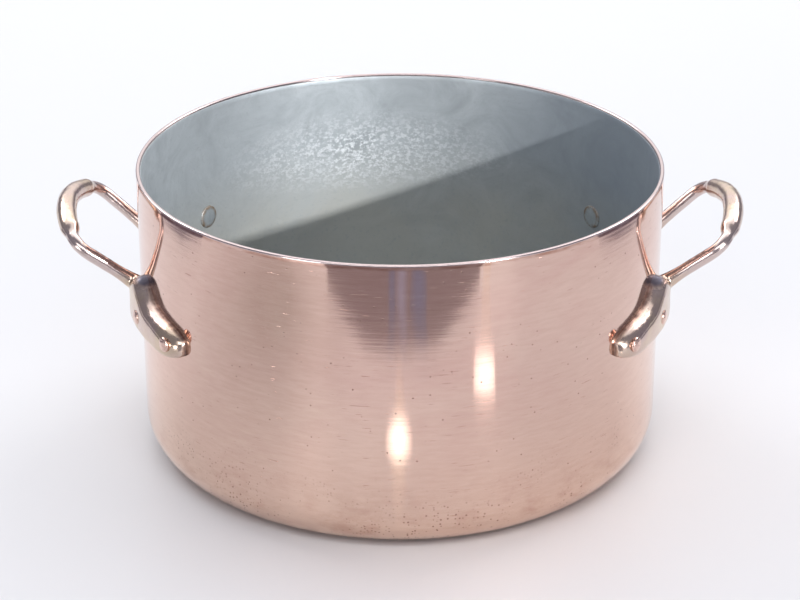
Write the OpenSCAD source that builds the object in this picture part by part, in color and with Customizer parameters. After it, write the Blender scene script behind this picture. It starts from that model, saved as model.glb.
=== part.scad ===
// Deep copper stewpot with a tinned inside and two cast bronze loop handles.
// Millimetres, +Z up. The origin is the centre of the flat bottom, and the handles are on +X and -X.

/* [Pot] */
// Outside diameter at the rim
rim_d = 320; // [240:1:400]
// Height from the flat bottom to the rim
pot_h = 182; // [160:1:260]
// How much further the wall stands out at the base than at the rim, on the radius
wall_flare = 1.6; // [0:0.1:4]
// Thickness of the copper
wall_t = 2.5; // [1.5:0.1:4]
// Outside radius of the corner between the bottom and the wall
base_corner_r = 24; // [12:1:30]
// Radius of the two dressed edges of the rim
rim_edge_r = 0.8; // [0.2:0.1:0.9]

/* [Tin lining] */
// Thickness of the tin
tin_t = 0.3; // [0.2:0.1:0.6]
// How far below the rim the tin ends
tin_drop = 1.2; // [1:0.1:6]

/* [Handle loop] */
// Angle of the loop above the horizontal
loop_tilt = 40; // [30:1:50]
// Distance from the foot's outer edge to the middle of the grip, along the loop
loop_reach = 51.5; // [46:0.5:60]
// Height of the loop's lower end above the bottom
loop_z = 121; // [110:1:130]
// Distance of the loop's lower end from the pot's axis, beyond the rim's radius
loop_standoff = 4.5; // [3:0.5:6]
// Thickness of the grip
grip_d = 12.4; // [10:0.2:14]
// Radius of the grip's outward bow
grip_bow_r = 75; // [60:1:120]
// Half angle of the bow
grip_bow_angle = 25; // [15:1:30]
// Length of the taper from the grip to the arm
grip_taper = 9; // [5:0.5:11]
// Thickness of the arms
arm_d = 7.8; // [6:0.2:9]
// Bend radius of the corner between the grip and the arm
loop_corner_r = 11; // [9:0.5:14]
// Angle by which the two arms close in towards the pot
arm_splay = 10; // [0:1:14]
// How far the arm runs on into the foot
arm_sink = 9; // [7:0.5:10]
// Thickness of the arm's lower end, where it runs into the foot
knee_d = 11.5; // [9:0.5:13]
// Length over which the arm swells to that thickness
knee_l = 17; // [12:1:20]

/* [Handle feet] */
// Thickness of a foot
foot_t = 9.5; // [7:0.5:10]
// Azimuth of the foot's middle, from the handle's own axis
foot_azimuth = 26.5; // [24:0.5:30]
// Length of a foot
foot_l = 76; // [70:1:80]
// Height of the foot's bottom edge above the pot's bottom
foot_z = 95; // [86:1:100]
// Height of the foot under the arm
foot_h_root = 26; // [22:1:30]
// Height of the foot at its tip
foot_h_tip = 15; // [13:1:20]
// Angle by which the foot drops towards its tip
foot_droop = 4.5; // [0:0.5:6]
// Rounding of the foot's long outer edges
foot_edge_r = 3; // [1:0.5:4]

/* [Rivets] */
// Azimuths of the two rivets in a foot, from the handle's own axis
rivet_azimuths = [21.5, 35.8];
// Height of the rivets above the pot's bottom
rivet_z = 104.5; // [102:0.5:106]
// Diameter of the shank
shank_d = 7.2; // [5:0.1:8]
// Diameter and height of the peened head outside
outer_head_d = 9.6; // [8:0.1:12]
outer_head_h = 2.4; // [1:0.1:3]
// Diameter and height of the flat head inside
inner_head_d = 15.2; // [12:0.1:18]
inner_head_h = 1.6; // [1:0.1:3]

/* [Hidden] */

$fn = 48;
round_the_pot = 720;
copper = [0.80, 0.56, 0.48];
tin = [0.58, 0.61, 0.63];
bronze = [0.80, 0.64, 0.44];
rivet_copper = [0.72, 0.50, 0.42];

rim_r = rim_d / 2;
flare_angle = atan(wall_flare / pot_h);
corner_x = rim_r + (pot_h - base_corner_r * (1 + sin(flare_angle))) * tan(flare_angle)
    - base_corner_r * cos(flare_angle);
cutter_l = 60;
foot_trim = 0.4;
foot_root_inset = 2;
head_skirt = 1;
web_step = 0.2;
bar_step = 0.2;
bar_lap = 0.5;

// The pot's half section, as a solid shape from the axis out, taken in by inset and cut off at height top.
module vessel_section(inset, top) {
    corner_r = base_corner_r - inset;
    side = [corner_x + corner_r * cos(flare_angle), base_corner_r + corner_r * sin(flare_angle)];
    polygon([
        [0, inset],
        [corner_x, inset],
        [corner_x, base_corner_r],
        side,
        [side.x - (top - side.y) * tan(flare_angle), top],
        [0, top]
    ]);
    translate([corner_x, base_corner_r])
        intersection() {
            circle(r = corner_r);
            translate([0, -corner_r])
                square([corner_r, corner_r * (1 + sin(flare_angle))]);
        }
}

// Everything inside the pot's wall, at a given depth from the outside face.
module vessel_space(inset) {
    rotate_extrude($fn = round_the_pot)
        vessel_section(inset, pot_h + cutter_l);
}

// Points outwards along an azimuth, at the rivets' height.
module along_rivet(azimuth) {
    rotate([0, 0, azimuth])
        translate([0, 0, rivet_z])
            rotate([0, 90, 0])
                children();
}

// The pieces of a handle's front side, and the same pieces on its back side.
module both_sides() {
    children();
    mirror([0, 1, 0])
        children();
}

module rivet_holes() {
    both_sides()
        for (azimuth = rivet_azimuths)
            along_rivet(-azimuth)
                translate([0, 0, rim_r - cutter_l / 2])
                    cylinder(d = shank_d, h = cutter_l);
}

module all_rivet_holes() {
    rivet_holes();
    mirror([1, 0, 0])
        rivet_holes();
}

// The rim: a flat top with a rounded edge on each side.
module rim_section() {
    translate([rim_r - wall_t, pot_h - 2 * rim_edge_r])
        square([wall_t, rim_edge_r]);
    translate([rim_r - wall_t + rim_edge_r, pot_h - 2 * rim_edge_r])
        square([wall_t - 2 * rim_edge_r, 2 * rim_edge_r]);
    for (x = [rim_r - wall_t + rim_edge_r, rim_r - rim_edge_r])
        translate([x, pot_h - rim_edge_r])
            circle(r = rim_edge_r);
}

module pot_body() {
    color(copper)
        difference() {
            rotate_extrude($fn = round_the_pot) {
                difference() {
                    vessel_section(0, pot_h - rim_edge_r);
                    vessel_section(wall_t, pot_h);
                }
                rim_section();
            }
            all_rivet_holes();
        }
}

module tin_lining() {
    color(tin)
        difference() {
            rotate_extrude($fn = round_the_pot)
                difference() {
                    vessel_section(wall_t, pot_h - tin_drop);
                    vessel_section(wall_t + tin_t, pot_h);
                }
            all_rivet_holes();
        }
}

// A handle's loop lies in its own plane: x runs up and outwards along the loop, and y runs along the grip.
// Each piece of bar starts a short lap inside the one before it, and is a small step thinner.
bow_x = loop_reach - grip_bow_r;
taper_at = [bow_x + grip_bow_r * cos(grip_bow_angle), grip_bow_r * sin(grip_bow_angle)];
corner_at = taper_at + grip_taper * [-sin(grip_bow_angle), cos(grip_bow_angle)];
corner_centre = corner_at - loop_corner_r * [cos(grip_bow_angle), sin(grip_bow_angle)];
arm_heading = 90 + arm_splay;
arm_at = corner_centre + loop_corner_r * [cos(arm_heading), sin(arm_heading)];
arm_l = arm_at.x / sin(arm_heading) + arm_sink;
knee_at = arm_at + (arm_l - knee_l) * [-sin(arm_heading), cos(arm_heading)];
corner_lap_angle = bar_lap / loop_corner_r * 180 / PI;

// A round bar from a point in the loop's plane, along a heading that turns from +y towards -x.
module bar(at, heading, length, d_start, d_end) {
    translate(at)
        rotate([-90, 0, heading])
            translate([0, 0, -bar_lap])
                cylinder(d1 = d_start, d2 = d_end, h = length + bar_lap);
}

// A bent round bar: part of a ring in the loop's plane.
module bend(centre, bend_r, from, to, d) {
    translate(centre)
        rotate([0, 0, from])
            rotate_extrude(angle = to - from)
                translate([bend_r, 0])
                    circle(d = d);
}

module half_loop() {
    bar(taper_at, grip_bow_angle, grip_taper, grip_d - bar_step, arm_d + bar_step);
    bend(corner_centre, loop_corner_r, grip_bow_angle - corner_lap_angle, arm_heading, arm_d);
    bar(arm_at, arm_heading, arm_l - knee_l, arm_d - bar_step, arm_d - bar_step);
    bar(knee_at, arm_heading, knee_l, arm_d, knee_d);
}

module loop() {
    translate([rim_r + loop_standoff, 0, loop_z])
        rotate([0, -loop_tilt, 0]) {
            bend([bow_x, 0], grip_bow_r, -grip_bow_angle, grip_bow_angle, grip_d);
            both_sides()
                half_loop();
        }
}

// A foot's outline, seen from outside the pot: two round ends, and a straight-sided web a step narrower than both.
// The arm's end is at +x, the tip is at -x, and y = 0 is the foot's bottom edge under the arm.
module foot_outline() {
    root_r = foot_h_root / 2;
    tip_r = foot_h_tip / 2;
    span = foot_l - root_r - tip_r;
    translate([foot_l / 2 - root_r, root_r])
        rotate(foot_droop) {
            polygon([
                [0, web_step - root_r],
                [0, root_r - web_step],
                [-span, tip_r - web_step],
                [-span, web_step - tip_r]
            ]);
            circle(r = root_r);
            translate([-span, 0])
                circle(r = tip_r);
        }
}

// A foot's cross-section, before the wall is cut out of it. It is trimmed a little inside the outline's height.
module foot_section() {
    outer_r = rim_r + foot_t;
    inner_r = rim_r - foot_root_inset;
    bottom = foot_z + foot_trim;
    top = foot_z + foot_h_root - foot_trim;
    translate([inner_r, bottom])
        square([outer_r - inner_r - foot_edge_r, top - bottom]);
    translate([inner_r, bottom + foot_edge_r])
        square([outer_r - inner_r, top - bottom - 2 * foot_edge_r]);
    for (z = [bottom + foot_edge_r, top - foot_edge_r])
        translate([outer_r - foot_edge_r, z])
            circle(r = foot_edge_r);
}

module front_foot() {
    rotate([0, 0, -foot_azimuth])
        intersection() {
            rotate([0, 0, -foot_azimuth])
                rotate_extrude(angle = 2 * foot_azimuth, $fn = round_the_pot)
                    foot_section();
            translate([rim_r - cutter_l / 2, 0, foot_z])
                rotate([90, 0, 90])
                    linear_extrude(cutter_l)
                        foot_outline();
        }
}

module handle() {
    color(bronze)
        difference() {
            union() {
                loop();
                both_sides()
                    front_foot();
            }
            vessel_space(0);
            rivet_holes();
        }
}

module right_handle() {
    handle();
}

module left_handle() {
    mirror([1, 0, 0])
        handle();
}

// A low dome of diameter d and height h, standing on z = 0, with a skirt below it.
module dome(d, h) {
    dome_r = (d * d / 4 + h * h) / (2 * h);
    rotate_extrude()
        intersection() {
            translate([0, h - dome_r])
                circle(r = dome_r);
            square([d / 2, h]);
        }
    translate([0, 0, -head_skirt])
        cylinder(d = d, h = head_skirt);
}

// One rivet, on the +X side of the pot. Each head is cut to the curved face that it is drawn down on.
module rivet(azimuth) {
    inner_r = rim_r - wall_t - tin_t;
    outer_r = rim_r + foot_t;
    color(rivet_copper) {
        along_rivet(azimuth)
            translate([0, 0, inner_r - head_skirt])
                cylinder(d = shank_d, h = outer_r - inner_r + 2 * head_skirt);
        difference() {
            along_rivet(azimuth)
                translate([0, 0, outer_r])
                    dome(outer_head_d, outer_head_h);
            cylinder(r = outer_r, h = pot_h, $fn = round_the_pot);
        }
        intersection() {
            along_rivet(azimuth)
                translate([0, 0, inner_r])
                    mirror([0, 0, 1])
                        dome(inner_head_d, inner_head_h);
            vessel_space(wall_t + tin_t);
        }
    }
}

module left_front_inner_rivet() { mirror([1, 0, 0]) rivet(-rivet_azimuths[0]); }
module left_front_outer_rivet() { mirror([1, 0, 0]) rivet(-rivet_azimuths[1]); }
module left_back_inner_rivet() { mirror([1, 0, 0]) rivet(rivet_azimuths[0]); }
module left_back_outer_rivet() { mirror([1, 0, 0]) rivet(rivet_azimuths[1]); }
module right_front_inner_rivet() { rivet(-rivet_azimuths[0]); }
module right_front_outer_rivet() { rivet(-rivet_azimuths[1]); }
module right_back_inner_rivet() { rivet(rivet_azimuths[0]); }
module right_back_outer_rivet() { rivet(rivet_azimuths[1]); }

pot_body();
tin_lining();
left_handle();
right_handle();
left_front_inner_rivet();
left_front_outer_rivet();
left_back_inner_rivet();
left_back_outer_rivet();
right_front_inner_rivet();
right_front_outer_rivet();
right_back_inner_rivet();
right_back_outer_rivet();
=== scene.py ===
"""A deep copper stewpot with a tinned inside and two riveted bronze loop handles, in plain studio light."""

import math

import bpy
import numpy as np
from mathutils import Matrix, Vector, noise


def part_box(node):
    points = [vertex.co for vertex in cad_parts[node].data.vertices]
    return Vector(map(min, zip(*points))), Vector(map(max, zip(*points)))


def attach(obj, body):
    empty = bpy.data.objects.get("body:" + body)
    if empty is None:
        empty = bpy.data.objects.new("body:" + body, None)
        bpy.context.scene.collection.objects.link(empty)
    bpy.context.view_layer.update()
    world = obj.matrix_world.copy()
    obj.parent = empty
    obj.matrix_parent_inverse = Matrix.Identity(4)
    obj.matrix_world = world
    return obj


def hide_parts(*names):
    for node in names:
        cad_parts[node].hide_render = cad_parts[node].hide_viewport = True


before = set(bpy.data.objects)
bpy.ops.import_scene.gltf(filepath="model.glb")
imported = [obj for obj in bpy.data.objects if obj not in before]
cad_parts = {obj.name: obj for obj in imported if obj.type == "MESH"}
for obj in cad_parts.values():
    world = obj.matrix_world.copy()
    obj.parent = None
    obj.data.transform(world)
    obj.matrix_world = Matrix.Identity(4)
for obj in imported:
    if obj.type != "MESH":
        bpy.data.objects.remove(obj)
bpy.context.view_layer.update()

# The pot's sizes, in metres. Its height and its widest radius come from the frame.
POT_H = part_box("pot_body")[1].z
BASE_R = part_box("pot_body")[1].y
RIM_R = 0.160
WALL_T = 0.0025
TIN_T = 0.0003
TIN_DROP = 0.0012
CORNER_R = 0.024
RIM_EDGE_R = 0.0008
FLARE = math.atan((BASE_R - RIM_R) / (POT_H - CORNER_R))
CORNER_X = BASE_R - CORNER_R
POT_SEGMENTS = 480
WALL_STEPS = 60

# How uneven planishing left the pot's sheet: the depth in metres, the share of it that every point has,
# and the radii between which it begins. Each kind of dent has its cells round the pot and per metre of
# height, where its noise starts, and its share of the depth.
DENT_DEPTH = 0.00030
DENT_SHARE = 0.55
DENTS_FROM_R = 0.10
DENTS_FULL_R = 0.15
DENTS = ((2.2, 9, 0, 0.42), (9, 42, 7, 0.14))

# The handles' sizes, in metres and degrees. A handle is worked out on +X.
LOOP_TILT = 40
LOOP_REACH = 0.0515
LOOP_Z = 0.121
LOOP_STANDOFF = 0.0045
GRIP_D = 0.0124
GRIP_BOW_R = 0.075
GRIP_BOW_ANGLE = 25
GRIP_TAPER = 0.009
ARM_D = 0.0078
ARM_SPLAY = 10
ARM_SINK = 0.009
LOOP_CORNER_R = 0.0110
KNEE_D = 0.0115
FOOT_T = 0.0095
FOOT_AZIMUTHS = (13.2, 39.4)
FOOT_Z = 0.0955
FOOT_H_ROOT = 0.0260
FOOT_H_TIP = 0.0150
FOOT_CROWN = 0.0085
FOOT_EDGE_R = 0.0025
FOOT_INSET = 0.003
GUSSET_H = 0.009
WALL_BITE = 0.0006
CAST_VOXEL = 0.0006
BAR_SIDES = 40
FOOT_STEPS = 44

# The share of the grip's thickness that is gone at the grip's ends, and the share of an arm's length at
# which it starts to thicken towards the foot.
GRIP_NARROWING = 0.05
KNEE_FROM = 0.55

# Shares of a foot's length: how far its ends are rounded in, and where its gusset rises.
FOOT_ROOT_ROUND = 0.10
FOOT_TIP_ROUND = 0.22
GUSSET_AT = 0.25
GUSSET_SPREAD = 0.16

# Shares of a foot's full height and thickness: what is left at its very ends, and how much of the height
# lies below the line that the ends are rounded in to.
FOOT_END_H = 0.45
FOOT_END_T = 0.28
FOOT_BELOW = 0.45

# How uneven filing left the castings: cells per metre and how far a point moves, broad and then fine.
FILED = ((95, 0.00022), (260, 0.00007))
FILING_SEED = 1

# The rivets' sizes, in metres and degrees.
RIVET_AZIMUTHS = {"inner": 21.5, "outer": 35.8}
RIVET_Z = 0.1045
OUTER_HEAD_R = 0.0045
OUTER_HEAD_H = 0.0019
OUTER_HEAD_SINK = 0.0005
INNER_HEAD_R = 0.0076
INNER_HEAD_H = 0.0011
HEAD_SKIRT = 0.0008
SHANK_R = 0.0036
HAMMERED_DEPTH = 0.00014
HAMMERED_CELLS = 420
RIVET_SEGMENTS = 64


# ---------------------------------------------------------------- mesh helpers

def new_object(name, vertices, faces):
    """A smooth-shaded mesh object, linked to the scene."""
    mesh = bpy.data.meshes.new(name)
    mesh.from_pydata([tuple(v) for v in vertices], [], faces)
    mesh.validate()
    mesh.shade_smooth()
    piece = bpy.data.objects.new(name, mesh)
    bpy.context.scene.collection.objects.link(piece)
    return piece


def coordinates(piece):
    """A mesh's points as an array."""
    points = np.zeros(len(piece.data.vertices) * 3)
    piece.data.vertices.foreach_get("co", points)
    return points.reshape(-1, 3)


def set_coordinates(piece, points):
    """Moves a mesh's points to where an array says."""
    piece.data.vertices.foreach_set("co", points.astype(np.float32).ravel())
    piece.data.update()


def lathe(profile, segments):
    """Points and faces of a closed outline that starts and ends on the Z axis, turned round it."""
    rings = profile[1:-1]
    angles = [2 * math.pi * i / segments for i in range(segments)]
    points = [(r * math.cos(a), r * math.sin(a), z) for r, z in rings for a in angles]
    faces = []
    for ring in range(len(rings) - 1):
        for i in range(segments):
            j = (i + 1) % segments
            low, high = ring * segments, (ring + 1) * segments
            faces.append((low + i, low + j, high + j, high + i))
    first, last = len(points), len(points) + 1
    points += [(0, 0, profile[0][1]), (0, 0, profile[-1][1])]
    top = (len(rings) - 1) * segments
    for i in range(segments):
        j = (i + 1) % segments
        faces.append((first, j, i))
        faces.append((last, top + i, top + j))
    return points, faces


def arc(centre, radius, start, end, count):
    """Points on an arc in the half section, from one angle to another in degrees."""
    angles = [math.radians(start + (end - start) * i / (count - 1)) for i in range(count)]
    return [(centre[0] + radius * math.cos(a), centre[1] + radius * math.sin(a)) for a in angles]


def line(start, end, count):
    """Points on a straight line, without its two ends."""
    steps = [(i + 1) / (count + 1) for i in range(count)]
    return [(start[0] + (end[0] - start[0]) * s, start[1] + (end[1] - start[1]) * s) for s in steps]


def rippled(points):
    """The points of the pot moved in a little, where planishing left its sheet uneven."""
    moved = []
    for x, y, z in points:
        r = math.hypot(x, y)
        if r < 1e-6:
            moved.append((x, y, z))
            continue
        ux, uy = x / r, y / r
        depth = DENT_SHARE
        for around, up, start, share in DENTS:
            depth += share * noise.noise(Vector((ux * around, uy * around, z * up + start)))
        begun = min(1, max(0, (r - DENTS_FROM_R) / (DENTS_FULL_R - DENTS_FROM_R)))
        inward = DENT_DEPTH * depth * begun
        moved.append((x - ux * inward, y - uy * inward, z))
    return moved


# ---------------------------------------------------------------- the pot

def vessel_outline(inset, top, count):
    """Half section of the pot's face at a depth from the outside, from the axis up to a height."""
    flat = [(0, inset)] + line((0, inset), (CORNER_X, inset), 12)
    corner = arc((CORNER_X, CORNER_R), CORNER_R - inset, -90, math.degrees(FLARE), 20)
    wall_low = corner[-1]
    wall_top = (wall_low[0] - (top - wall_low[1]) * math.tan(FLARE), top)
    return flat + corner + line(wall_low, wall_top, count) + [wall_top]


def pot_body():
    """The copper vessel, open at the top, with both edges of its rim rounded."""
    edge_z = POT_H - RIM_EDGE_R
    outside = vessel_outline(0, edge_z, WALL_STEPS)
    inside = vessel_outline(WALL_T, edge_z, WALL_STEPS)
    outer_edge = arc((RIM_R - RIM_EDGE_R, edge_z), RIM_EDGE_R, 15, 90, 6)
    inner_edge = arc((RIM_R - WALL_T + RIM_EDGE_R, edge_z), RIM_EDGE_R, 90, 165, 6)
    points, faces = lathe(outside + outer_edge + inner_edge + inside[::-1], POT_SEGMENTS)
    return new_object("copper_pot", rippled(points), faces)


def tin_lining():
    """The tin skin. Its hidden face lies a little way into the copper."""
    bite = TIN_T / 2
    top = POT_H - TIN_DROP
    hidden = vessel_outline(WALL_T - bite, top - TIN_T, WALL_STEPS)
    shown = vessel_outline(WALL_T + TIN_T, top - TIN_T, WALL_STEPS)
    tip = (shown[-1][0] + TIN_T / 2, top)
    points, faces = lathe(hidden + [tip] + shown[::-1], POT_SEGMENTS)
    return new_object("tin_skin", rippled(points), faces)


# ---------------------------------------------------------------- the handles

def loop_path():
    """Points and radii along one half of the loop, from the middle of the grip to the foot.
    They are in the loop's own plane: x runs up and outwards along it, and y runs along the grip."""
    bow_x = LOOP_REACH - GRIP_BOW_R
    grip_end_r = GRIP_D / 2 * (1 - GRIP_NARROWING)
    path = []
    for i in range(13):
        a = math.radians(GRIP_BOW_ANGLE * i / 12)
        swell = GRIP_D / 2 * (1 - GRIP_NARROWING * (i / 12) ** 2)
        path.append((bow_x + GRIP_BOW_R * math.cos(a), GRIP_BOW_R * math.sin(a), swell))
    heading = math.radians(GRIP_BOW_ANGLE)
    x, y, _ = path[-1]
    for i in range(1, 9):
        s = i / 8
        ease = s * s * (3 - 2 * s)
        radius = grip_end_r + (ARM_D / 2 - grip_end_r) * ease
        along = GRIP_TAPER * s
        path.append((x - along * math.sin(heading), y + along * math.cos(heading), radius))
    x, y, _ = path[-1]
    cx = x - LOOP_CORNER_R * math.cos(heading)
    cy = y - LOOP_CORNER_R * math.sin(heading)
    arm_heading = math.radians(90 + ARM_SPLAY)
    for i in range(1, 17):
        a = heading + (arm_heading - heading) * i / 16
        path.append((cx + LOOP_CORNER_R * math.cos(a), cy + LOOP_CORNER_R * math.sin(a), ARM_D / 2))
    x, y, _ = path[-1]
    arm_l = x / math.sin(arm_heading) + ARM_SINK
    for i in range(1, 25):
        s = i / 24
        flare = max(0, (s - KNEE_FROM) / (1 - KNEE_FROM)) ** 1.6
        radius = ARM_D / 2 + (KNEE_D - ARM_D) / 2 * flare
        along = arm_l * s
        path.append((x - along * math.sin(arm_heading), y + along * math.cos(arm_heading), radius))
    return path


def tube(centres, radii, sides):
    """Points and faces of a round bar along a path, closed at both ends."""
    count = len(centres)
    points = []
    for i in range(count):
        ahead = centres[min(i + 1, count - 1)] - centres[max(i - 1, 0)]
        ahead.normalize()
        if i == 0:
            across = ahead.orthogonal().normalized()
        else:
            across = (across - ahead * across.dot(ahead)).normalized()
        other = ahead.cross(across)
        for k in range(sides):
            a = 2 * math.pi * k / sides
            points.append(centres[i] + (across * math.cos(a) + other * math.sin(a)) * radii[i])
    faces = [tuple(range(sides))[::-1], tuple(range((count - 1) * sides, count * sides))]
    for i in range(count - 1):
        for k in range(sides):
            n = (k + 1) % sides
            faces.append((i * sides + k, i * sides + n, (i + 1) * sides + n, (i + 1) * sides + k))
    return points, faces


def loop_bar():
    """The whole loop on +X, as one bent bar."""
    half = loop_path()
    tilt = math.radians(LOOP_TILT)
    base_x = RIM_R + LOOP_STANDOFF
    whole = [(x, -y, r) for x, y, r in half[:0:-1]] + half
    centres = [Vector((base_x + x * math.cos(tilt), y, LOOP_Z + x * math.sin(tilt))) for x, y, _ in whole]
    return tube(centres, [r for _, _, r in whole], BAR_SIDES)


def foot_section(share):
    """The outline of a foot at a share of its length from root to tip, as points of radius and height.
    Its top is rounded over to the outer face, and it rises in a gusset behind the arm."""
    gusset = GUSSET_H * math.exp(-((share - GUSSET_AT) / GUSSET_SPREAD) ** 2)
    from_end = min(share / FOOT_ROOT_ROUND, (1 - share) / FOOT_TIP_ROUND)
    squeeze = math.sqrt(max(0.02, 1 - (1 - min(1, from_end)) ** 2))
    height = FOOT_H_ROOT + (FOOT_H_TIP - FOOT_H_ROOT) * share
    below = height * FOOT_BELOW
    middle = FOOT_Z + below
    tall = FOOT_END_H + (1 - FOOT_END_H) * squeeze
    top = middle + (height - below + gusset) * tall
    low = middle - below * tall
    thickness = FOOT_T * (FOOT_END_T + (1 - FOOT_END_T) * squeeze)
    inside = RIM_R - FOOT_INSET
    crown = min(FOOT_CROWN, (top - low) * 0.6)
    edge = min(FOOT_EDGE_R, (top - low) * 0.2)
    section = [(inside, low)] + arc((RIM_R + thickness - edge, low + edge), edge, -90, 0, 6)
    for i in range(13):
        a = math.pi / 2 * i / 12
        section.append((RIM_R + thickness * math.cos(a) ** 0.9, top - crown + crown * math.sin(a)))
    return section + [(inside, top)]


def foot(side):
    """One foot on +X, on the front (side = -1) or on the back (side = 1)."""
    root, tip = FOOT_AZIMUTHS
    points = []
    for i in range(FOOT_STEPS + 1):
        share = i / FOOT_STEPS
        a = side * math.radians(root + (tip - root) * share)
        section = foot_section(share)
        points += [(r * math.cos(a), r * math.sin(a), z) for r, z in section]
    n = len(section)
    faces = [tuple(range(n)), tuple(range(FOOT_STEPS * n, (FOOT_STEPS + 1) * n))[::-1]]
    for i in range(FOOT_STEPS):
        for k in range(n):
            m = (k + 1) % n
            faces.append((i * n + k, (i + 1) * n + k, (i + 1) * n + m, i * n + m))
    if side > 0:
        faces = [f[::-1] for f in faces]
    return points, faces


def joined(parts):
    """Several sets of points and faces as one set."""
    points, faces = [], []
    for part_points, part_faces in parts:
        start = len(points)
        points += part_points
        faces += [tuple(start + i for i in f) for f in part_faces]
    return points, faces


def apply_modifiers(piece):
    """Replaces a piece's mesh with what its modifiers make of it."""
    bpy.context.view_layer.update()
    made = piece.evaluated_get(bpy.context.evaluated_depsgraph_get())
    mesh = bpy.data.meshes.new_from_object(made)
    piece.modifiers.clear()
    piece.data = mesh
    mesh.shade_smooth()


def cast(piece):
    """Melts overlapping solids into one casting, with soft corners where they meet."""
    remesh = piece.modifiers.new("cast", "REMESH")
    remesh.mode = "VOXEL"
    remesh.voxel_size = CAST_VOXEL
    smooth = piece.modifiers.new("dressed", "SMOOTH")
    smooth.factor = 0.5
    smooth.iterations = 18
    apply_modifiers(piece)


def hand_finished(points):
    """The slight unevenness that filing and polishing leave on a casting. Without a seed, noise_vector gives
    another one in each run."""
    noise.seed_set(FILING_SEED)
    out = points.copy()
    for cells, reach in FILED:
        for i, p in enumerate(points):
            out[i] += reach * np.array(noise.noise_vector(Vector(p) * cells))
    return out


def fitted_to_wall(points):
    """Points that lie inside the pot's face are brought out to just under it, where they are hidden."""
    r = np.hypot(points[:, 0], points[:, 1])
    face = RIM_R + (POT_H - points[:, 2]) * math.tan(FLARE) - WALL_BITE
    scale = np.where(r < face, face / r, 1)
    return np.c_[points[:, 0] * scale, points[:, 1] * scale, points[:, 2]]


def handle(name, side):
    """A handle on +X (side = 1) or on -X (side = -1)."""
    points, faces = joined([loop_bar(), foot(-1), foot(1)])
    piece = new_object(name, points, faces)
    cast(piece)
    points = fitted_to_wall(hand_finished(coordinates(piece)))
    points[:, 0] *= side
    set_coordinates(piece, points)
    if side < 0:
        piece.data.flip_normals()
    return piece


# ---------------------------------------------------------------- the rivets

def rivet_outline():
    """Half section of a rivet: x from its axis, y outwards from the pot's axis."""
    inner_face = RIM_R - WALL_T - TIN_T
    outer_face = RIM_R + FOOT_T
    outer_seat = outer_face - OUTER_HEAD_SINK
    inner, outer = [], []
    for i in range(15):
        a = math.pi / 2 * i / 14
        inner.append((INNER_HEAD_R * math.sin(a), inner_face - INNER_HEAD_H * math.cos(a) ** 0.8))
        outer.append((OUTER_HEAD_R * math.sin(a), outer_seat + OUTER_HEAD_H * math.cos(a) ** 0.7))
    shank = [(INNER_HEAD_R, inner_face + HEAD_SKIRT), (SHANK_R, inner_face + HEAD_SKIRT)]
    shank += [(SHANK_R, outer_face - HEAD_SKIRT), (OUTER_HEAD_R, outer_face - HEAD_SKIRT)]
    return inner + shank + outer[::-1]


def rivet(name, side, front, azimuth):
    """A rivet on side 1 (+X) or -1 (-X), at the front (-1) or the back (1), at an azimuth from X."""
    points, faces = lathe(rivet_outline(), RIVET_SEGMENTS)
    a = math.radians(azimuth)
    out = Vector((side * math.cos(a), front * math.sin(a), 0))
    across = Vector((-out.y, out.x, 0))
    up = Vector((0, 0, 1))
    own_part = Vector((side * 3.1, front * 5.7, azimuth))
    placed = []
    for x, y, z in points:
        hammered = HAMMERED_DEPTH * noise.noise(Vector((x, y, z)) * HAMMERED_CELLS + own_part)
        placed.append(out * (z + hammered) + across * x + up * (y + RIVET_Z))
    piece = new_object(name, placed, faces)
    piece.data.flip_normals()
    return piece


# ---------------------------------------------------------------- materials

def add(tree, kind, links=None, **settings):
    """A shader node. links gives its inputs by name or number, as values or as other nodes' outputs."""
    made = tree.nodes.new(kind)
    for name, value in settings.items():
        setattr(made, name, value)
    for key, value in (links or {}).items():
        if isinstance(value, bpy.types.NodeSocket):
            tree.links.new(value, made.inputs[key])
        else:
            made.inputs[key].default_value = value
    return made


def start_material(name, metallic=1.0, anisotropy=0.0):
    """A material with a Principled shader. Returns the material, its node tree and its shader.
    Anisotropy blurs its reflections along the Z axis, across lines that run round the pot."""
    material = bpy.data.materials.new(name)
    material.use_nodes = True
    tree = material.node_tree
    shader = tree.nodes["Principled BSDF"]
    shader.inputs["Metallic"].default_value = metallic
    if anisotropy:
        shader.inputs["Anisotropic"].default_value = anisotropy
        shader.inputs["Anisotropic Rotation"].default_value = 0.25
        tangent = add(tree, "ShaderNodeTangent", direction_type="RADIAL", axis="Z")
        tree.links.new(tangent.outputs[0], shader.inputs["Tangent"])
    return material, tree, shader


def place(tree, scale):
    """Object coordinates in metres, stretched by a scale along each axis."""
    coords = add(tree, "ShaderNodeTexCoord")
    return add(tree, "ShaderNodeMapping", {"Vector": coords.outputs["Object"], "Scale": scale}).outputs[0]


def clouds(tree, scale, detail=4.0, roughness=0.55, distortion=0.0):
    """Noise with a number of cells per metre along each axis."""
    links = {"Vector": place(tree, scale), "Scale": 1.0, "Detail": detail,
             "Roughness": roughness, "Distortion": distortion}
    return add(tree, "ShaderNodeTexNoise", links).outputs["Fac"]


def ramp(tree, value, low, high, to_low=0.0, to_high=1.0):
    """value taken from the range low to high onto another range, and held at its ends."""
    links = {"Value": value, "From Min": low, "From Max": high, "To Min": to_low, "To Max": to_high}
    return add(tree, "ShaderNodeMapRange", links, clamp=True).outputs[0]


def maths(tree, operation, a, b):
    """The result of an operation on two values."""
    return add(tree, "ShaderNodeMath", {0: a, 1: b}, operation=operation).outputs[0]


def vector_maths(tree, operation, a, b=None):
    """A node for an operation on one or two vectors."""
    links = {0: a} if b is None else {0: a, 1: b}
    return add(tree, "ShaderNodeVectorMath", links, operation=operation)


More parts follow.
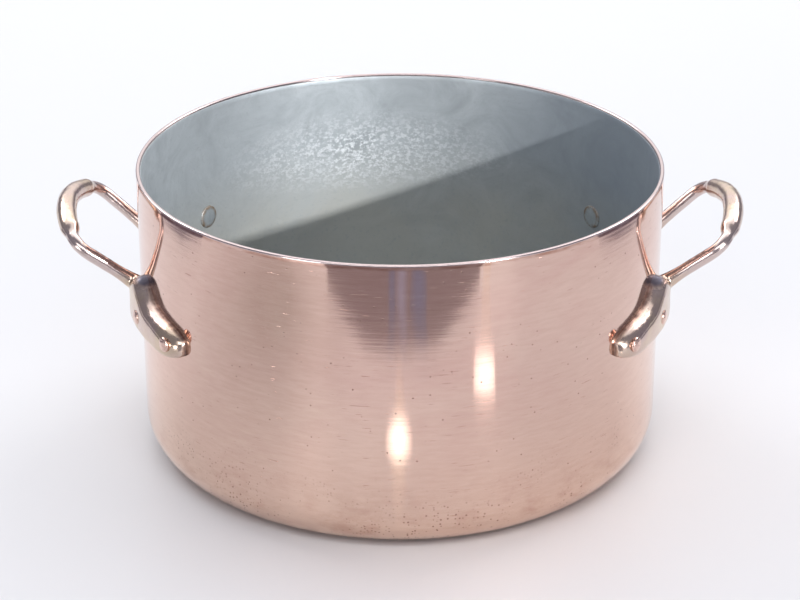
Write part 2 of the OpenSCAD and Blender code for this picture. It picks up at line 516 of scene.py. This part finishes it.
def mixed(tree, share, a, b):
    """Colour a where share is 0, colour b where it is 1."""
    return add(tree, "ShaderNodeMix", {0: share, 6: a, 7: b}, data_type="RGBA").outputs[2]


def height_of(tree):
    """Height above the pot's bottom, in metres."""
    coords = add(tree, "ShaderNodeTexCoord")
    return add(tree, "ShaderNodeSeparateXYZ", {0: coords.outputs["Object"]}).outputs[2]


def bumped(tree, shader, height, distance):
    """Gives a shader a relief, with a distance in metres for a height of 1."""
    bump = add(tree, "ShaderNodeBump", {"Height": height, "Distance": distance})
    tree.links.new(bump.outputs[0], shader.inputs["Normal"])


def pits(tree, cells, size, keep):
    """Small round pits: 1 in the middle of a pit and 0 elsewhere. keep is the share of cells with one."""
    links = {"Vector": place(tree, (cells, cells, cells)), "Scale": 1.0}
    spots = add(tree, "ShaderNodeTexVoronoi", links, feature="F1")
    round_spot = ramp(tree, spots.outputs["Distance"], size * 0.5, size, 1.0, 0.0)
    lot = add(tree, "ShaderNodeSeparateColor", {0: spots.outputs["Color"]}).outputs[0]
    chosen = ramp(tree, lot, keep, keep + 0.02, 1.0, 0.0)
    return maths(tree, "MULTIPLY", round_spot, chosen)


# The metals' colours, with alpha.
COPPER = (0.775, 0.560, 0.475, 1)
COPPER_ROSE = (0.735, 0.500, 0.430, 1)
COPPER_PALE = (0.62, 0.51, 0.50, 1)
COPPER_WARM = (0.79, 0.60, 0.475, 1)
COPPER_BROWN = (0.42, 0.20, 0.14, 1)
PIT_BROWN = (0.22, 0.10, 0.07, 1)
BRONZE = (0.67, 0.53, 0.40, 1)
BRONZE_ROSE = (0.63, 0.485, 0.44, 1)
BRONZE_PINK = (0.68, 0.565, 0.54, 1)
BRONZE_DARK = (0.16, 0.11, 0.10, 1)
PAINTED_CROTCH_REFLECTION = (0.085, 0.083, 0.112, 1)
TIN = (0.50, 0.54, 0.565, 1)
TIN_DULL = (0.345, 0.375, 0.395, 1)
# A darker blue, painted as shade on the tin's +X side.
TIN_PAINTED_SHADE = (0.29, 0.335, 0.39, 1)
TIN_BRIGHT = (0.90, 0.93, 0.96, 1)
TIN_WARM = (0.47, 0.475, 0.445, 1)
TIN_WORN = (0.29, 0.22, 0.16, 1)

# The crotch between an arm and a foot, where shade and a dark reflection are painted, on the handle on +X at
# +Y.
CROTCH_AT = (0.1520, 0.0562, 0.1258)

# The middle of the frosted patch in the tin, and how much faster it ends along each axis.
FROST_AT = (-0.028, 0.153, 0.128)
FROST_STRETCH = (1, 1, 3.5)


def copper_material():
    """Hand-polished copper: fine lines round the pot, blotches, a paler rim, and pits near the base."""
    material, tree, shader = start_material("polished_copper", anisotropy=0.80)
    z = height_of(tree)
    blotches = ramp(tree, clouds(tree, (9, 9, 13), 5.0, 0.6, 0.6), 0.36, 0.66)
    grain = ramp(tree, clouds(tree, (70, 70, 420), 4.0, 0.65), 0.34, 0.66)
    lines = clouds(tree, (22, 22, 1500), 3.0, 0.6)
    ripples = clouds(tree, (9, 9, 240), 3.0, 0.6)
    marks = ramp(tree, clouds(tree, (80, 80, 1500), 2.0, 0.5), 0.715, 0.745)
    low_down = ramp(tree, z, 0.012, 0.060, 1.0, 0.0)
    patches = ramp(tree, clouds(tree, (24, 24, 40), 4.0, 0.6), 0.46, 0.58)
    pitted_patch = maths(tree, "MULTIPLY", low_down, patches)
    coarse_pits = maths(tree, "MULTIPLY", pits(tree, 480, 0.34, 0.42), pitted_patch)
    fine_pits = pits(tree, 420, 0.22, 0.035)
    pitted = maths(tree, "MAXIMUM", coarse_pits, fine_pits)
    # Brown in cloudy patches, darker towards the bottom.
    low_patch_cloud = ramp(tree, clouds(tree, (55, 55, 90), 5.0, 0.65), 0.48, 0.68)
    low_brown_patches = maths(tree, "MULTIPLY", low_down, low_patch_cloud)
    rim = ramp(tree, z, POT_H - 0.0014, POT_H - 0.0007)
    # Painted shade: a thin brown line just under the rim's outer edge, broken up by the grain.
    under_rim_painted_shade = maths(tree, "MULTIPLY", ramp(tree, z, POT_H - 0.0034, POT_H - 0.0024),
                      ramp(tree, z, POT_H - 0.0015, POT_H - 0.0008, 0.8, 0.0))
    colour = mixed(tree, blotches, COPPER, COPPER_ROSE)
    colour = mixed(tree, ramp(tree, z, 0.02, 0.11, 0.6, 0.0), colour, COPPER_WARM)
    colour = mixed(tree, maths(tree, "MULTIPLY", grain, 0.14), colour, COPPER_BROWN)
    colour = mixed(tree, maths(tree, "MULTIPLY", low_brown_patches, 0.35), colour, COPPER_BROWN)
    colour = mixed(tree, maths(tree, "MULTIPLY", marks, 0.50), colour, COPPER_BROWN)
    colour = mixed(tree, pitted, colour, PIT_BROWN)
    colour = mixed(tree, rim, colour, COPPER_PALE)
    colour = mixed(tree, maths(tree, "MULTIPLY", under_rim_painted_shade, grain), colour, COPPER_BROWN)
    tree.links.new(colour, shader.inputs["Base Color"])
    dull = maths(tree, "MULTIPLY", blotches, 0.03)
    dull = maths(tree, "ADD", dull, ramp(tree, lines, 0.3, 0.7, 0.055, 0.09))
    dull = maths(tree, "ADD", dull, maths(tree, "MULTIPLY", marks, 0.1))
    dull = maths(tree, "ADD", dull, maths(tree, "MULTIPLY", rim, 0.12))
    tree.links.new(dull, shader.inputs["Roughness"])
    relief = maths(tree, "ADD", maths(tree, "MULTIPLY", lines, 0.2), ripples)
    relief = maths(tree, "SUBTRACT", relief, maths(tree, "MULTIPLY", pitted, 1.5))
    relief = maths(tree, "SUBTRACT", relief, maths(tree, "MULTIPLY", marks, 0.6))
    bumped(tree, shader, relief, 0.00003)
    return material


def tin_material():
    """Wiped tin: matte and blue-grey, warmer low down, mottled, with a frosted patch and wiping marks."""
    material, tree, shader = start_material("wiped_tin", metallic=0.70)
    mottle = ramp(tree, clouds(tree, (26, 26, 30), 6.0, 0.65, 0.8), 0.34, 0.66)
    broad = ramp(tree, clouds(tree, (11, 11, 14), 5.0, 0.65, 0.5), 0.36, 0.62)
    frost = ramp(tree, clouds(tree, (300, 300, 420), 4.0, 0.7), 0.46, 0.60)
    wipes = clouds(tree, (18, 18, 420), 4.0, 0.6, 0.3)
    speckle = ramp(tree, clouds(tree, (420, 420, 420), 2.0, 0.5), 0.60, 0.68)
    coords = add(tree, "ShaderNodeTexCoord").outputs["Object"]
    offset = vector_maths(tree, "SUBTRACT", coords, FROST_AT).outputs[0]
    offset = vector_maths(tree, "MULTIPLY", offset, FROST_STRETCH).outputs[0]
    from_patch = vector_maths(tree, "LENGTH", offset).outputs["Value"]
    near_patch = ramp(tree, from_patch, 0.030, 0.110, 1.0, 0.0)
    patchy = maths(tree, "MULTIPLY", near_patch, ramp(tree, broad, 0, 1, 0.45, 1.0))
    frosted = maths(tree, "MULTIPLY", frost, patchy)
    low_down = ramp(tree, height_of(tree), 0.085, 0.135, 1.0, 0.0)
    warm = maths(tree, "MULTIPLY", low_down, ramp(tree, broad, 0, 1, 0.4, 0.9))
    across = add(tree, "ShaderNodeSeparateXYZ", {0: coords}).outputs[0]
    colour = mixed(tree, mottle, TIN, TIN_DULL)
    # Painted shade: towards +X the tin is mixed towards a darker blue, where the inside lies in shade.
    colour = mixed(tree, ramp(tree, across, 0.05, 0.14, 0.0, 0.75), colour, TIN_PAINTED_SHADE)
    colour = mixed(tree, warm, colour, TIN_WARM)
    colour = mixed(tree, maths(tree, "MULTIPLY", frosted, 0.9), colour, TIN_BRIGHT)
    colour = mixed(tree, maths(tree, "MULTIPLY", speckle, 0.35), colour, TIN_DULL)
    tree.links.new(colour, shader.inputs["Base Color"])
    dull = maths(tree, "ADD", ramp(tree, mottle, 0, 1, 0.50, 0.66), maths(tree, "MULTIPLY", frosted, -0.16))
    tree.links.new(dull, shader.inputs["Roughness"])
    relief = maths(tree, "ADD", maths(tree, "MULTIPLY", wipes, 0.6), maths(tree, "MULTIPLY", mottle, 0.8))
    relief = maths(tree, "ADD", relief, maths(tree, "MULTIPLY", frosted, 0.6))
    bumped(tree, shader, relief, 0.00012)
    return material


def bronze_material():
    """Cast bronze, buffed bright on its open faces and pinker on the arms. Painted shade darkens its
    hollows, the crotches between arms and feet and where it meets the wall, which are also duller; the
    crotches carry a painted dark reflection too, and pinholes are dark."""
    material, tree, shader = start_material("polished_bronze")
    tone = ramp(tree, clouds(tree, (38, 38, 38), 4.0, 0.6, 0.5), 0.38, 0.64)
    geometry = add(tree, "ShaderNodeNewGeometry")
    # Painted shade: darker in the hollows, round the crotches and along the line where the bronze meets the
    # wall. The same mask also makes it duller there, as grime would.
    hollow = ramp(tree, geometry.outputs["Pointiness"], 0.485, 0.455, 0.0, 1.0)
    coords = add(tree, "ShaderNodeTexCoord").outputs["Object"]
    folded = vector_maths(tree, "ABSOLUTE", coords).outputs[0]
    to_crotch = vector_maths(tree, "DISTANCE", folded, CROTCH_AT).outputs["Value"]
    hollow = maths(tree, "MAXIMUM", hollow, ramp(tree, to_crotch, 0.0040, 0.0078, 1.0, 0.0))
    flat = vector_maths(tree, "MULTIPLY", coords, (1, 1, 0)).outputs[0]
    radius = vector_maths(tree, "LENGTH", flat).outputs["Value"]
    hollow = maths(tree, "MAXIMUM", hollow, ramp(tree, radius, RIM_R + 0.0014, RIM_R + 0.0034, 1.0, 0.0))
    unevenly = ramp(tree, clouds(tree, (240, 240, 240), 4.0, 0.6), 0.35, 0.6, 0.5, 0.95)
    shade_and_grime = maths(tree, "MULTIPLY", hollow, unevenly)
    holes = pits(tree, 520, 0.20, 0.05)
    colour = mixed(tree, tone, BRONZE, BRONZE_ROSE)
    from_middle = add(tree, "ShaderNodeSeparateXYZ", {0: folded})
    on_arm = maths(tree, "MULTIPLY", ramp(tree, from_middle.outputs[1], 0.030, 0.042, 0.0, 0.9),
                   ramp(tree, from_middle.outputs[2], 0.118, 0.128))
    colour = mixed(tree, on_arm, colour, BRONZE_PINK)
    colour = mixed(tree, shade_and_grime, colour, BRONZE_DARK)
    # Painted reflection: a dark blue-grey spot in each crotch.
    colour = mixed(tree, ramp(tree, to_crotch, 0.0034, 0.0060, 0.9, 0.0), colour, PAINTED_CROTCH_REFLECTION)
    colour = mixed(tree, holes, colour, BRONZE_DARK)
    tree.links.new(colour, shader.inputs["Base Color"])
    buffing = clouds(tree, (500, 500, 500), 3.0, 0.6)
    buffed = ramp(tree, buffing, 0.35, 0.65, 0.15, 0.24)
    dull = maths(tree, "ADD", buffed, maths(tree, "MULTIPLY", shade_and_grime, 0.3))
    tree.links.new(dull, shader.inputs["Roughness"])
    relief = maths(tree, "SUBTRACT", maths(tree, "MULTIPLY", buffing, 0.35), holes)
    bumped(tree, shader, relief, 0.00005)
    return material


def rivet_material():
    """Hammered copper rivet heads, duller than the pot's wall."""
    material, tree, shader = start_material("hammered_copper")
    tone = ramp(tree, clouds(tree, (300, 300, 300), 4.0, 0.6, 0.4), 0.40, 0.62)
    colour = mixed(tree, tone, COPPER, COPPER_ROSE)
    colour = mixed(tree, pits(tree, 900, 0.25, 0.12), colour, COPPER_BROWN)
    tree.links.new(colour, shader.inputs["Base Color"])
    tree.links.new(ramp(tree, tone, 0, 1, 0.16, 0.30), shader.inputs["Roughness"])
    bumped(tree, shader, clouds(tree, (700, 700, 700), 3.0, 0.6), 0.00006)
    return material


def tinned_head_material():
    """A rivet head inside the pot: tin over copper, rubbed through to brown at its edge."""
    material, tree, shader = start_material("tinned_rivet_head", metallic=0.85)
    edge = add(tree, "ShaderNodeAttribute", attribute_name="head_edge").outputs["Fac"]
    rubbed = clouds(tree, (320, 320, 320), 4.0, 0.6)
    brown = maths(tree, "MULTIPLY", ramp(tree, edge, 0.62, 0.86), ramp(tree, rubbed, 0.30, 0.60))
    colour = mixed(tree, rubbed, TIN, TIN_DULL)
    colour = mixed(tree, brown, colour, TIN_WORN)
    tree.links.new(colour, shader.inputs["Base Color"])
    tree.links.new(ramp(tree, rubbed, 0.3, 0.7, 0.48, 0.62), shader.inputs["Roughness"])
    bumped(tree, shader, rubbed, 0.0001)
    return material


def floor_material():
    """A pale, slightly glossy floor."""
    material, _, shader = start_material("pale_floor", metallic=0.0)
    shader.inputs["Base Color"].default_value = FLOOR_GREY
    shader.inputs["Roughness"].default_value = 0.4
    shader.inputs["Specular IOR Level"].default_value = 0.35
    return material


# ---------------------------------------------------------------- the object

def finish_piece(piece, materials, nodes):
    """Gives a piece its materials, hides the parts of the model that it takes the place of, and attaches it
    to the root.
    """
    for material in materials:
        piece.data.materials.append(material)
    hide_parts(*nodes)
    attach(piece, "root")
    return piece


def mark_head_edges(piece, side, front, azimuth):
    """On a rivet: how far a point is from the rivet's axis, as a share of the inside head, and which faces
    belong to that head."""
    a = math.radians(azimuth)
    out = np.array((side * math.cos(a), front * math.sin(a), 0))
    points = coordinates(piece) - np.array((0, 0, RIVET_Z))
    depth = points @ out
    from_axis = np.linalg.norm(points - np.outer(depth, out), axis=1)
    edge = piece.data.attributes.new("head_edge", "FLOAT", "POINT")
    edge.data.foreach_set("value", (from_axis / INNER_HEAD_R).astype(np.float32))
    for face in piece.data.polygons:
        middle = np.mean([depth[i] for i in face.vertices])
        face.material_index = 1 if middle < RIM_R - WALL_T / 2 else 0


def build_object():
    """Makes every piece of the pot, and returns them."""
    bronze, rivet_metal, tinned = bronze_material(), rivet_material(), tinned_head_material()
    made = [finish_piece(pot_body(), [copper_material()], ["pot_body"]),
            finish_piece(tin_lining(), [tin_material()], ["tin_lining"])]
    for side_name, side in (("left", -1), ("right", 1)):
        name = f"{side_name}_handle"
        made.append(finish_piece(handle(f"{name}_casting", side), [bronze], [name]))
        for front_name, front in (("front", -1), ("back", 1)):
            for place_name, azimuth in RIVET_AZIMUTHS.items():
                name = f"{side_name}_{front_name}_{place_name}_rivet"
                piece = rivet(f"{name}_heads", side, front, azimuth)
                mark_head_edges(piece, side, front, azimuth)
                made.append(finish_piece(piece, [rivet_metal, tinned], [name]))
    return made


# ---------------------------------------------------------------- the studio

# The lights' places, sizes and powers, in metres and watts, and the fill's angle in degrees.
KEY_AT = (0.855, -1.134, 0.60)
KEY_SIZE = (0.03, 0.03)
KEY_POWER = 27
FILL_AT = (0, -0.62, 0.75)
FILL_TARGET = (0, -0.20, 0)
FILL_POWER = 5
FILL_ANGLE = 16
FILL_WIDENING = 1.7
OVERHEAD_POWER = 19
FRONT_POWER = 5.5
SOFTBOX_POWER = 26
STRIP_POWERS = {"left": 6, "right": 2}

# Half the floor's width, its grey, the room's and the backdrop's brightness, and the direction of the
# backdrop's middle.
FLOOR_HALF = 9
FLOOR_GREY = (0.74, 0.75, 0.77, 1)
ROOM = (0.26, 0.26, 0.31, 1)
BACKDROP = (1.30, 1.30, 1.32, 1)
BACKDROP_TOWARDS = (0, 0.77, 0.64)

# The colours of what the wall reflects, with alpha.
EDGE_DARK = (0.32, 0.29, 0.325, 1)
SIDE_DARK = (0.20, 0.19, 0.26, 1)
SHADE_GREY = (0.58, 0.58, 0.59, 1)
LILAC = (0.40, 0.44, 0.62, 1)
BLUE = (0.25, 0.29, 0.45, 1)
WARM_WHITE = (1, 0.97, 0.94, 1)

# The cards' heights above the floor. Where two overlap, the higher one is seen.
SHADE_Z = 0.002
EDGE_Z = 0.003
GAP_Z = 0.004
STREAK_Z = 0.005
GLINT_Z = 0.006

# The outlines of the dark edge in front of the pot, of the one beside it on +X, and of the soft shade.
FRONT_EDGE = ((-1.25, -2.0), (1.38, -2.0), (0.252, -0.475),
              (0.09, -0.43), (-0.09, -0.43), (-0.226, -0.475))
SIDE_EDGE = ((0.495, 0.17), (0.512, 0.015), (0.545, -0.085), (0.95, -0.16), (0.95, 0.28))
LEFT_SHADE = ((-0.60, -0.64), (-0.10, -0.64), (-0.10, -0.04), (-0.60, -0.04))

# The coloured gaps in the dark edge: name, x on the rim, azimuth, width and colour.
GAPS = (("lilac_gap", 0.001, 0.8, 0.044, LILAC),
        ("left_blue_gap", -0.004, -3.2, 0.024, BLUE),
        ("right_blue_gap", 0.0105, 7.6, 0.050, BLUE))
GAP_NEAR = 0.25
GAP_FAR = 0.50

# The light streaks: name, x on the rim, azimuth, where the glint starts, and where the streak ends.
STREAKS = (("front", -0.002, 0, 0.095, 0.27),
           ("side", 0.0465, 36.5, 0.18, 1.10))
STREAK_NEAR = 0.03
STREAK_W = 0.026
GLINT_L = 0.075
GLINT_W = 0.045
GLINT_STRENGTH = 3.4


def aimed(thing, at, target):
    """Puts a light in the scene at a point, turned to another."""
    thing.location = at
    thing.rotation_euler = (Vector(target) - Vector(at)).to_track_quat("-Z", "Y").to_euler()
    bpy.context.scene.collection.objects.link(thing)


def area_light(name, at, target, size, power):
    """A white rectangular light."""
    data = bpy.data.lights.new(name, "AREA")
    data.shape = "RECTANGLE"
    data.size, data.size_y = size
    data.energy = power
    light = bpy.data.objects.new(name, data)
    aimed(light, at, target)
    return light


def only_lights(light, name, pieces):
    """Limits a light to some pieces."""
    lit = bpy.data.collections.new(name)
    for piece in pieces:
        lit.objects.link(piece)
    light.light_linking.receiver_collection = lit


def card(name, corners, colour, strength=1.0, soft=False):
    """A flat card just above the floor that shows only in reflections, and only from above.
    A soft one fades towards its edges."""
    piece = new_object(name, corners, [tuple(range(len(corners)))])
    if piece.data.polygons[0].normal.z < 0:
        piece.data.flip_normals()
    material, tree, shader = start_material(name, metallic=0.0)
    shader.inputs["Base Color"].default_value = (0, 0, 0, 1)
    shader.inputs["Specular IOR Level"].default_value = 0
    shader.inputs["Emission Color"].default_value = colour
    shader.inputs["Emission Strength"].default_value = strength
    shown = maths(tree, "SUBTRACT", 1.0, add(tree, "ShaderNodeNewGeometry").outputs["Backfacing"])
    if soft:
        coords = add(tree, "ShaderNodeTexCoord").outputs["Generated"]
        flat = vector_maths(tree, "MULTIPLY", coords, (1, 1, 0)).outputs[0]
        from_middle = vector_maths(tree, "DISTANCE", flat, (0.5, 0.5, 0)).outputs["Value"]
        shown = maths(tree, "MULTIPLY", shown, ramp(tree, from_middle, 0.1, 0.5, 1.0, 0.0))
    clear = add(tree, "ShaderNodeBsdfTransparent")
    blend = add(tree, "ShaderNodeMixShader", {0: shown, 1: clear.outputs[0], 2: shader.outputs[0]})
    tree.links.new(blend.outputs[0], tree.nodes["Material Output"].inputs["Surface"])
    piece.data.materials.append(material)
    piece.visible_camera = False
    piece.visible_diffuse = False
    piece.visible_shadow = False


def floor_strip(start_x, z, azimuth, near, far, width):
    """The corners of a level strip in front of the pot, from near to far along a line. The line starts
    under the rim at an x, and runs outwards along an azimuth from -Y."""
    start = Vector((start_x, -math.sqrt(RIM_R ** 2 - start_x ** 2), z))
    a = math.radians(azimuth)
    along = Vector((math.sin(a), -math.cos(a), 0))
    across = Vector((math.cos(a), math.sin(a), 0)) * width / 2
    low, high = start + along * near, start + along * far
    return [low - across, low + across, high + across, high - across]


def studio_world():
    """A dim room, with a white backdrop behind the pot."""
    world = bpy.data.worlds.new("studio")
    world.use_nodes = True
    tree = world.node_tree
    direction = add(tree, "ShaderNodeTexCoord").outputs["Generated"]
    facing = vector_maths(tree, "DOT_PRODUCT", direction, BACKDROP_TOWARDS).outputs["Value"]
    colour = mixed(tree, ramp(tree, facing, 0.80, 0.92), ROOM, BACKDROP)
    tree.links.new(colour, tree.nodes["Background"].inputs["Color"])
    return world


def floor_fill(floor):
    """A weak wide spot that lights only the floor in front of the pot."""
    data = bpy.data.lights.new("floor_fill", "SPOT")
    data.energy = FILL_POWER
    data.spot_size = math.radians(FILL_ANGLE)
    data.spot_blend = 1.0
    data.shadow_soft_size = 0.08
    fill = bpy.data.objects.new("floor_fill", data)
    fill.scale = (FILL_WIDENING, 1.0, 1.0)
    aimed(fill, FILL_AT, FILL_TARGET)
    only_lights(fill, "lit_by_fill", [floor])


def reflected_cards():
    """What the front wall reflects: dark edges, a shade on the left, coloured gaps and light streaks."""
    card("table_edge", [(x, y, EDGE_Z) for x, y in FRONT_EDGE], EDGE_DARK)
    for name, side in (("left_edge", -1), ("right_edge", 1)):
        card(name, [(side * x, y, EDGE_Z) for x, y in SIDE_EDGE], SIDE_DARK)
    card("left_shade", [(x, y, SHADE_Z) for x, y in LEFT_SHADE], SHADE_GREY, soft=True)
    for name, x, azimuth, width, colour in GAPS:
        card(name, floor_strip(x, GAP_Z, azimuth, GAP_NEAR, GAP_FAR, width), colour, soft=True)
    for name, x, azimuth, near, far in STREAKS:
        streak = floor_strip(x, STREAK_Z, azimuth, STREAK_NEAR, far, STREAK_W)
        glint = floor_strip(x, GLINT_Z, azimuth, near, near + GLINT_L, GLINT_W)
        card(f"{name}_streak", streak, WARM_WHITE, soft=True)
        card(f"{name}_glint", glint, WARM_WHITE, GLINT_STRENGTH, soft=True)


def studio(pieces):
    """The floor, the room, the lights and the cards. The key lights only the pot."""
    corners = [(x * FLOOR_HALF, y * FLOOR_HALF, 0) for x, y in ((-1, -1), (1, -1), (1, 1), (-1, 1))]
    floor = new_object("floor", corners, [(0, 1, 2, 3)])
    floor.data.materials.append(floor_material())
    bpy.context.scene.world = studio_world()
    key = area_light("key", KEY_AT, (0, 0, POT_H), KEY_SIZE, KEY_POWER)
    only_lights(key, "lit_by_key", pieces)
    floor_fill(floor)
    area_light("overhead_softbox", (0, 0.95, 1.9), (0, 0.5, 0), (3.2, 2.0), OVERHEAD_POWER)
    area_light("front_softbox", (0, -0.95, 1.0), (0, -0.2, 0), (1.2, 0.5), FRONT_POWER)
    for name, side in (("left", -1), ("right", 1)):
        softbox_at, softbox_target = (side * 1.7, 1.7, 1.8), (side * 0.2, 0.9, 0)
        strip_at, strip_target = (side * 1.15, -1.45, 0.32), (side * 0.17, 0, 0.14)
        area_light(f"{name}_softbox", softbox_at, softbox_target, (1.6, 1.0), SOFTBOX_POWER)
        area_light(f"{name}_strip", strip_at, strip_target, (0.55, 0.5), STRIP_POWERS[name])
    reflected_cards()


# The camera's place in rim radii, from the middle of the rim, and its tilt in degrees and lens in mm. They
# were solved from how round and how large the photograph shows the rim and the base.
CAMERA_BACK = 7.181
CAMERA_UP = 2.790
CAMERA_TILT = 25.25
CAMERA_LENS = 90.9


def camera():
    """The viewing point: a long lens from the front, above the rim."""
    data = bpy.data.cameras.new("camera")
    data.sensor_width = 36
    data.lens = CAMERA_LENS
    data.clip_start, data.clip_end = 0.05, 50
    thing = bpy.data.objects.new("camera", data)
    thing.location = (0, -CAMERA_BACK * RIM_R, POT_H + CAMERA_UP * RIM_R)
    thing.rotation_euler = (math.radians(90 - CAMERA_TILT), 0, 0)
    bpy.context.scene.collection.objects.link(thing)
    bpy.context.scene.camera = thing


studio(build_object())
camera()
bpy.context.scene.view_settings.view_transform = "Standard"
